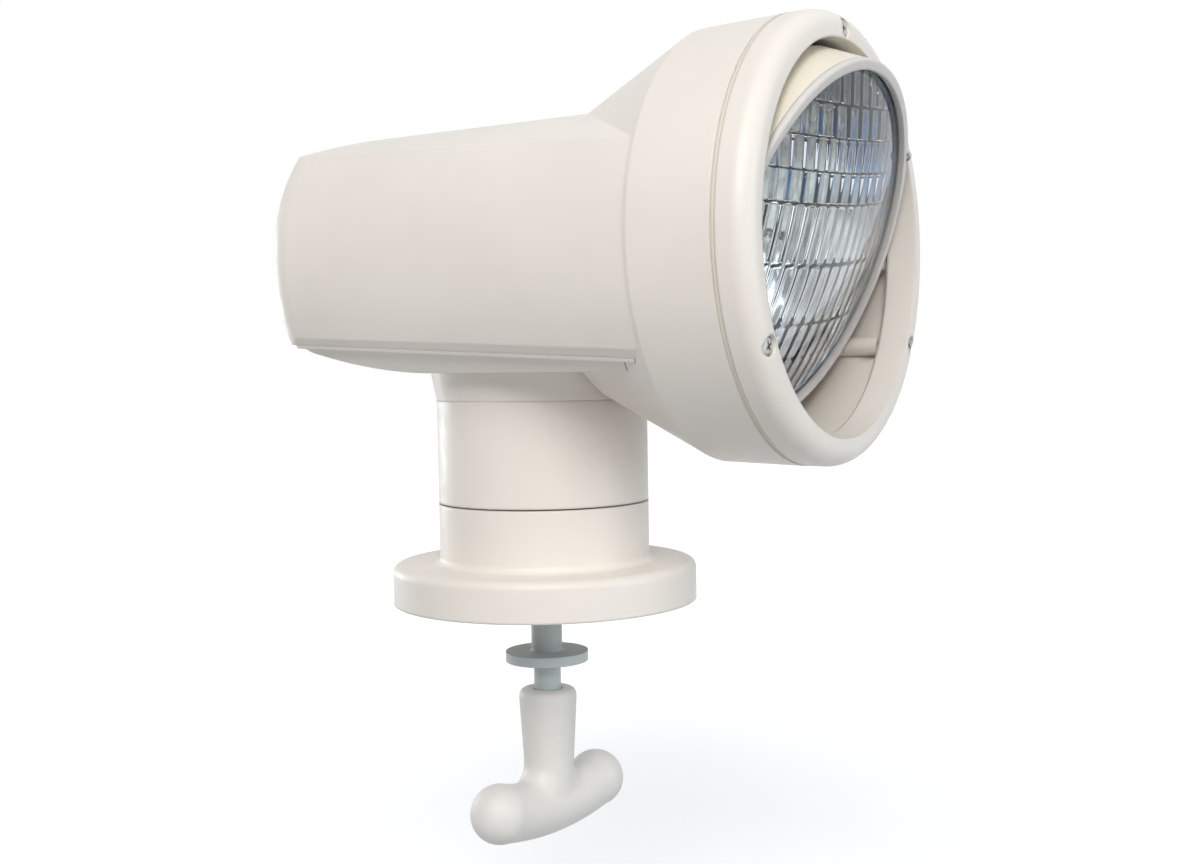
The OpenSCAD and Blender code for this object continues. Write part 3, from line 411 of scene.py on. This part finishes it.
# %% Put the glass in
glass_colour = (0.87, 0.915, 0.925)
glass_ior = 1.47
glass_roughness = (0.0, 0.03)
gloss_patch = 8 * MM
ripple_size = 12 * MM
ripple_depth = 0.03 * MM


def add_piece(name, mesh, finish, body):
    """A new piece with its finish, riding on a body."""
    piece = bpy.data.objects.new(name, mesh)
    bpy.context.scene.collection.objects.link(piece)
    piece.data.materials.append(finish)
    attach(piece, body)
    return piece


pressed_glass, tree, shader, place = new_finish("pressed_glass")
shader.inputs["Base Color"].default_value = (*glass_colour, 1)
shader.inputs["Transmission Weight"].default_value = 1.0
shader.inputs["IOR"].default_value = glass_ior
spread(tree, grain(tree, place, gloss_patch), *glass_roughness, shader.inputs["Roughness"])
relief(tree, grain(tree, place, ripple_size), ripple_depth, shader)
lens = add_piece("lens_fluted", fluted_glass(), pressed_glass, "lamp")
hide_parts("lamp_lens")
print("lens faces:", len(lens.data.polygons))

# %% [markdown]
# ## The mirror bowl
# Behind the glass is a pressed bowl with a bright coating inside, curved as a parabola so that the light of
# the filament leaves as a beam. On a plain white stage a mirror would look empty, so reflections are painted
# into the coating's colour: a mottled grey painted reflection over the bowl, a paler one below the beam, and
# a dusky blue one on its upper flanks. The heights and the flanks are read in metres from the searchlight's
# foot.

# %% Mirror coating
# Colours of the painted reflections in the bowl: mottled grey, paler below the beam, dusky blue on the upper
# flanks
painted_reflection_greys = ((0.08, 0.085, 0.08), (0.62, 0.62, 0.59))
painted_reflection_pale_tones = ((0.19, 0.20, 0.23), (0.64, 0.625, 0.62))
painted_reflection_blue_tones = ((0.004, 0.035, 0.055), (0.02, 0.17, 0.42))
pale_reflection_start, pale_reflection_full = 0.162, 0.146
blue_reflection_start, blue_reflection_full = 0.220, 0.234
reflection_patch = 16 * MM
coat_patch = 10 * MM
coat_roughness = (0.03, 0.1)
coat_wave = 15 * MM
coat_depth = 0.2 * MM


def blended(tree, factor, patches, tones):
    """A tint of the patches that is laid over another by a factor."""
    mix = tree.nodes.new("ShaderNodeMix")
    mix.data_type = "RGBA"
    tree.links.new(factor, mix.inputs["Factor"])
    tint(tree, patches, *tones, mix.inputs["B"])
    return mix


# The mirror's base colour is painted reflection, laid out by height and by flank over a metallic gloss
mirror_painted_reflections, tree, shader, place = new_finish("mirror_painted_reflections")
shader.inputs["Metallic"].default_value = 1.0
axes = tree.nodes.new("ShaderNodeSeparateXYZ")
tree.links.new(place, axes.inputs["Vector"])
side = maths(tree, "ABSOLUTE", axes.outputs["Y"])
flank = maths(tree, "ADD", side, axes.outputs["Z"])
patches = grain(tree, place, reflection_patch, detail=2.0)
# Masks that put the pale painted reflection low in the bowl and the blue painted reflection on its upper
# flanks
pale_reflection_mask = ranged(tree, axes.outputs["Z"], pale_reflection_start, pale_reflection_full, kind="SMOOTHSTEP")
blue_reflection_mask = ranged(tree, flank, blue_reflection_start, blue_reflection_full, kind="SMOOTHSTEP")
lower = blended(tree, pale_reflection_mask, patches, painted_reflection_pale_tones)
upper = blended(tree, blue_reflection_mask, patches, painted_reflection_blue_tones)
tint(tree, patches, *painted_reflection_greys, lower.inputs["A"])
tree.links.new(lower.outputs["Result"], upper.inputs["A"])
tree.links.new(upper.outputs["Result"], shader.inputs["Base Color"])
spread(tree, grain(tree, place, coat_patch), *coat_roughness, shader.inputs["Roughness"])
relief(tree, grain(tree, place, coat_wave), coat_depth, shader)
print("mirror coating ready")

# %% [markdown]
# The bowl's half outline is drawn once, from the middle of its inside over the rim and back to the neck. It
# is then spun round the beam, as on a lathe. The depth and the neck are measured from the solid.

# %% Outline of the bowl
axis_zone = 1 * MM
neck_zone = 0.1 * MM
bowl_points = lamp_points("lamp_mirror")
bowl_rim = max(x for x, r in bowl_points)
bowl_neck = min(x for x, r in bowl_points)
bowl_vertex = max(x for x, r in bowl_points if r < axis_zone)
neck_r = max(r for x, r in bowl_points if x < bowl_neck + neck_zone)
bowl_depth = bowl_rim - bowl_vertex
bowl_r = glass_r - 2.2 * MM
bowl_t = 3.5 * MM
bowl_steps = 48


def bowl_curve(r):
    """Distance along the beam of the parabola at a radius."""
    return bowl_vertex + bowl_depth * (r / bowl_r) ** 2


inner_radii = [bowl_r * i / bowl_steps for i in range(bowl_steps + 1)]
outer_radii = [bowl_r + (neck_r - bowl_r) * i / bowl_steps for i in range(bowl_steps + 1)]
outline = [(bowl_curve(r), r) for r in inner_radii]
outline += [(bowl_rim, glass_r), (bowl_rim - bowl_t, glass_r)]
outline += [(bowl_curve(r) - bowl_t, r) for r in outer_radii]
outline += [(bowl_neck, neck_r), (bowl_neck, 0)]
print("bowl depth mm", round(bowl_depth / MM, 1), "points in its outline:", len(outline))

# %% [markdown]
# A spin leaves double points where it closes and on the axis, so these are welded before the faces are
# turned to look outward. The clamp screw below is turned in the same way.

# %% Spin the bowl
bowl_turns = 160
weld = 0.001 * MM


def turned(points, axis, turns):
    """A shape made by spinning an outline once round an axis through the origin."""
    shape = bmesh.new()
    corners = [shape.verts.new(point) for point in points]
    edges = [shape.edges.new(pair) for pair in zip(corners, corners[1:])]
    once = 2 * math.pi
    bmesh.ops.spin(shape, geom=corners + edges, axis=axis, cent=(0, 0, 0), angle=once, steps=turns)
    bmesh.ops.remove_doubles(shape, verts=shape.verts, dist=weld)
    bmesh.ops.recalc_face_normals(shape, faces=shape.faces)
    return shape


bowl_shape = turned([(x, 0, r) for x, r in outline], (1, 0, 0), bowl_turns)
bowl_shape.transform(lamp_frame)
bowl_mesh = bpy.data.meshes.new("mirror_bowl")
bowl_shape.to_mesh(bowl_mesh)
bowl_shape.free()
bowl_mesh.shade_smooth()
bowl = add_piece("mirror_bowl", bowl_mesh, mirror_painted_reflections, "lamp")
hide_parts("lamp_mirror")
print("bowl faces:", len(bowl.data.polygons))

# %% [markdown]
# ## The filament
# The light comes from a coil of fine wire held between two posts at the focus of the bowl. The solid has
# the posts and a plain bar, so only the coil is added: a helix drawn as a curve with a round bevel.

# %% Filament coil
focus = bowl_vertex + bowl_r**2 / (4 * bowl_depth)
coil_r = 1.5 * MM
coil_half = 5 * MM
coil_turns = 9
points_per_turn = 12
wire_r = 0.25 * MM
wire = bpy.data.curves.new("filament_coil", "CURVE")
wire.dimensions = "3D"
wire.bevel_depth = wire_r
wire.bevel_resolution = 2
helix = wire.splines.new("POLY")
last_point = coil_turns * points_per_turn
helix.points.add(last_point)
for i, point in enumerate(helix.points):
    angle = 2 * math.pi * i / points_per_turn
    along = coil_half * (2 * i / last_point - 1)
    local = Vector((focus + coil_r * math.cos(angle), along, coil_r * math.sin(angle)))
    point.co = (*(lamp_frame @ local), 1)
coil = add_piece("filament_coil", wire, tungsten, "lamp")
print("coil turns:", coil_turns)

# %% [markdown]
# ## The clamp screw
# One screw in a notch of the clamp ring draws the ring tight round the glass. Its solid is a plain short
# stud, and the real screw has a fuller head, which sits on the ring's edge and catches the light. The axis
# of the new screw is measured from the stud.

# %% Where the clamp screw sits
to_lamp = lamp_frame.inverted()
stud_points = [to_lamp @ vertex.co for vertex in nodes["clamp_screw"].data.vertices]
stud_middle = sum(stud_points, Vector()) / len(stud_points)
stud_heading = math.atan2(stud_middle.z, stud_middle.y)
outward = Vector((0, math.cos(stud_heading), math.sin(stud_heading)))
stud_reach = [point.dot(outward) for point in stud_points]
stud_foot = min(stud_reach)
stud_end = max(stud_reach)
stud_back = min(point.x for point in stud_points)
stud_front = max(point.x for point in stud_points)
stud_x = (stud_back + stud_front) / 2
stud_r = (stud_front - stud_back) / 2
stud_frame = lamp_frame @ Matrix.Rotation(stud_heading, 4, "X") @ Matrix.Translation((stud_x, 0, 0))
print("stud heading", round(math.degrees(stud_heading), 1))
print("stud length mm", round((stud_end - stud_foot) / MM, 2))

# %% [markdown]
# The stem and the head are turned about that axis, with a rounded edge on the head. A bar across the head's
# end is then cut away with a boolean, which leaves the slot for the driver.

# %% Clamp screw with its slot
head_r = 2.2 * MM
head_edge = 0.6 * MM
head_seat = stud_end - 0.3 * MM
head_end = stud_end + 1.5 * MM
head_turns = 40
edge_steps = 6
slot_w = 0.8 * MM
slot_depth = 0.8 * MM


def mesh_object(name, shape):
    """A scene object from a shape that is then let go."""
    mesh = bpy.data.meshes.new(name)
    shape.to_mesh(mesh)
    shape.free()
    thing = bpy.data.objects.new(name, mesh)
    bpy.context.scene.collection.objects.link(thing)
    return thing


def settled(thing):
    """The mesh that an object's modifiers give, without the object."""
    mesh = bpy.data.meshes.new_from_object(thing.evaluated_get(bpy.context.evaluated_depsgraph_get()))
    bpy.data.objects.remove(thing)
    mesh.materials.clear()
    return mesh


def turned_head():
    """The stem and the head about their own axis, with a rounded edge."""
    bend = [math.radians(90 * i / edge_steps) for i in range(edge_steps + 1)]
    middle_r = head_r - head_edge
    middle_h = head_end - head_edge
    edge = [(middle_r + head_edge * math.cos(a), middle_h + head_edge * math.sin(a)) for a in bend]
    stem = [(0, stud_foot), (stud_r, stud_foot), (stud_r, head_seat), (head_r, head_seat)]
    return turned([(r, h, 0) for r, h in [*stem, *edge, (0, head_end)]], (0, 1, 0), head_turns)


def driver_slot():
    """A bar across the head's end, to be cut away."""
    shape = bmesh.new()
    size = Matrix.Diagonal((3 * head_r, 2 * slot_depth, slot_w, 1))
    bmesh.ops.create_cube(shape, size=1, matrix=Matrix.Translation((0, head_end, 0)) @ size)
    return shape


head = mesh_object("head", turned_head())
bar = mesh_object("bar", driver_slot())
cut = head.modifiers.new("slot", "BOOLEAN")
cut.operation = "DIFFERENCE"
cut.object = bar
screw_mesh = settled(head)
bpy.data.objects.remove(bar)
screw_mesh.transform(stud_frame)
screw = add_piece("clamp_screw_slotted", screw_mesh, stainless, "lamp")
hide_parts("clamp_screw")
print("clamp screw faces:", len(screw_mesh.polygons))

# %% [markdown]
# ## The handle
# The T-handle is one soft form: the stem flows into the bar with no edge between them. Its solid is made of
# turned pieces that meet in creases, so a copy is remeshed into small even cells and relaxed until the
# creases melt, in the way that a sculptor works clay with a thumb.

# %% Soften the handle
grip_cell = 0.9 * MM
relax_share = 0.5
relax_rounds = 14
clay = bpy.data.objects.new("handle_grip", nodes["t_handle"].data.copy())
bpy.context.scene.collection.objects.link(clay)
remesh = clay.modifiers.new("cells", "REMESH")
remesh.mode = "VOXEL"
remesh.voxel_size = grip_cell
relax = clay.modifiers.new("relax", "SMOOTH")
relax.factor = relax_share
relax.iterations = relax_rounds
grip_mesh = settled(clay)
grip_mesh.shade_smooth()
grip = add_piece("handle_grip", grip_mesh, handle_moulding, "control")
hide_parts("t_handle")
print("grip faces:", len(grip.data.polygons))

# %% [markdown]
# ## The stage
# The searchlight is shown on plain white. The floor lies a little below the handle, where a soft shadow can
# fall on it, and it is large enough that no edge of it shows.

# %% Floor
floor_drop = 0.08
floor_half = 6.0
floor_z = cad_low.z - floor_drop
floor_corners = [(-1, -1), (1, -1), (1, 1), (-1, 1)]
floor_mesh = bpy.data.meshes.new("floor")
floor_points = [(x * floor_half, y * floor_half, floor_z) for x, y in floor_corners]
floor_mesh.from_pydata(floor_points, [], [(0, 1, 2, 3)])
floor = bpy.data.objects.new("floor", floor_mesh)
bpy.context.scene.collection.objects.link(floor)
print("floor at mm", round(floor_z / MM))

# %% [markdown]
# The floor and the world are white to the camera, and to glass and metal, through the light path, so the
# white never comes from more light on the object. The floor's glow is added to its own shading, which keeps
# the soft shadow on it, and it grows with distance so that the far floor meets the white of the world.

# %% Finish of the floor
floor_tones = ((0.5, 0.5, 0.5), (0.54, 0.54, 0.54))
floor_patch = 0.5
floor_roughness = 0.9
glow_near, glow_far = 0.35, 1.1
near_glow, far_glow = 0.62, 0.95


def seen_directly(tree):
    """One for rays from the camera, from gloss or through glass, and none for the rest."""
    path = tree.nodes.new("ShaderNodeLightPath")
    total = path.outputs["Is Camera Ray"]
    for kind in ("Is Glossy Ray", "Is Transmission Ray"):
        total = maths(tree, "MAXIMUM", total, path.outputs[kind])
    return total


pale_floor, tree, shader, place = new_finish("pale_floor")
tint(tree, grain(tree, place, floor_patch), *floor_tones, shader.inputs["Base Color"])
shader.inputs["Roughness"].default_value = floor_roughness
shader.inputs["Specular IOR Level"].default_value = 0.0
away = tree.nodes.new("ShaderNodeVectorMath")
away.operation = "LENGTH"
tree.links.new(place, away.inputs[0])
glow = ranged(tree, away.outputs["Value"], glow_near, glow_far, near_glow, far_glow)
tree.links.new(maths(tree, "MULTIPLY", seen_directly(tree), glow), shader.inputs["Emission Strength"])
shader.inputs["Emission Color"].default_value = (1, 1, 1, 1)
floor.data.materials.append(pale_floor)
print("floor glows from", near_glow, "to", far_glow)

# %% [markdown]
# The world is a soft room, brighter above than below, so that the undersides fall into a cooler shade. Rays
# that see it directly find plain white instead.

# %% World
room_colour = (0.85, 0.93, 1.0)
dark_heading, bright_heading = -0.4, 1.0
dark_strength, bright_strength = 0.22, 0.52
world = bpy.data.worlds.new("soft_room")
bpy.context.scene.world = world
world.use_nodes = True
tree = world.node_tree
room = tree.nodes["Background"]
room.inputs["Color"].default_value = (*room_colour, 1)
heading = tree.nodes.new("ShaderNodeSeparateXYZ")
tree.links.new(tree.nodes.new("ShaderNodeTexCoord").outputs["Generated"], heading.inputs["Vector"])
up_share = heading.outputs["Z"]
sky = ranged(tree, up_share, dark_heading, bright_heading, dark_strength, bright_strength)
tree.links.new(sky, room.inputs["Strength"])
white = tree.nodes.new("ShaderNodeBackground")
white.inputs["Color"].default_value = (1, 1, 1, 1)
white.inputs["Strength"].default_value = 1.0
choice = tree.nodes.new("ShaderNodeMixShader")
tree.links.new(seen_directly(tree), choice.inputs["Fac"])
tree.links.new(room.outputs["Background"], choice.inputs[1])
tree.links.new(white.outputs["Background"], choice.inputs[2])
tree.links.new(choice.outputs["Shader"], tree.nodes["World Output"].inputs["Surface"])
print("world strength from", dark_strength, "to", bright_strength)

# %% [markdown]
# ## The lamps
# One large soft lamp stands beside the camera and above it. A weak cool one stands ahead of the glass, and
# another low behind the head, where its gleam on the crown doesn't reach the camera.

# %% Lamps
aim = Vector((0.03, 0, 0.1))


def soft_lamp(name, place, size, power, colour):
    """A round area lamp that faces the head."""
    light = bpy.data.lights.new(name, "AREA")
    light.shape = "DISK"
    light.size = size
    light.energy = power
    light.color = colour
    lamp = bpy.data.objects.new(name, light)
    lamp.location = place
    lamp.rotation_euler = (aim - Vector(place)).to_track_quat("-Z", "Y").to_euler()
    bpy.context.scene.collection.objects.link(lamp)


soft_lamp("key", (0.7, -1.3, 1.1), size=1.1, power=22.5, colour=(1.0, 0.97, 0.932))
soft_lamp("fill", (1.45, 0.25, 0.3), size=0.8, power=5, colour=(0.86, 0.94, 1.0))
soft_lamp("back", (-1.6, 0.3, 0.15), size=0.6, power=6, colour=(0.96, 0.98, 1.0))

# %% [markdown]
# ## The camera
# The picture was taken from a little above the flange, ahead of the column and to its right. The lens is
# given as a focal length on a 36 mm sensor, and the three angles turn the camera from level.

# %% Camera
camera_place = Vector((0.3540, -0.5198, 0.1044))
sensor_mm = 36
focal_mm = 42.96
yaw, pitch, roll = (math.radians(angle) for angle in (31.966, -2.885, -0.989))
right = Vector((math.cos(yaw), math.sin(yaw), 0))
forward = Vector((-math.sin(yaw) * math.cos(pitch), math.cos(yaw) * math.cos(pitch), math.sin(pitch)))
up = right.cross(forward)
across = math.cos(roll) * right + math.sin(roll) * up
upright = math.cos(roll) * up - math.sin(roll) * right
view = bpy.data.cameras.new("view")
view.sensor_width = sensor_mm
view.lens = focal_mm
view.clip_start = 0.01
camera = bpy.data.objects.new("camera", view)
camera_turn = Matrix((across, upright, -forward)).transposed().to_4x4()
camera.matrix_world = Matrix.Translation(camera_place) @ camera_turn
bpy.context.scene.collection.objects.link(camera)
bpy.context.scene.camera = camera
bpy.context.scene.view_settings.view_transform = "Standard"
print("camera at", [round(value, 3) for value in camera.location])
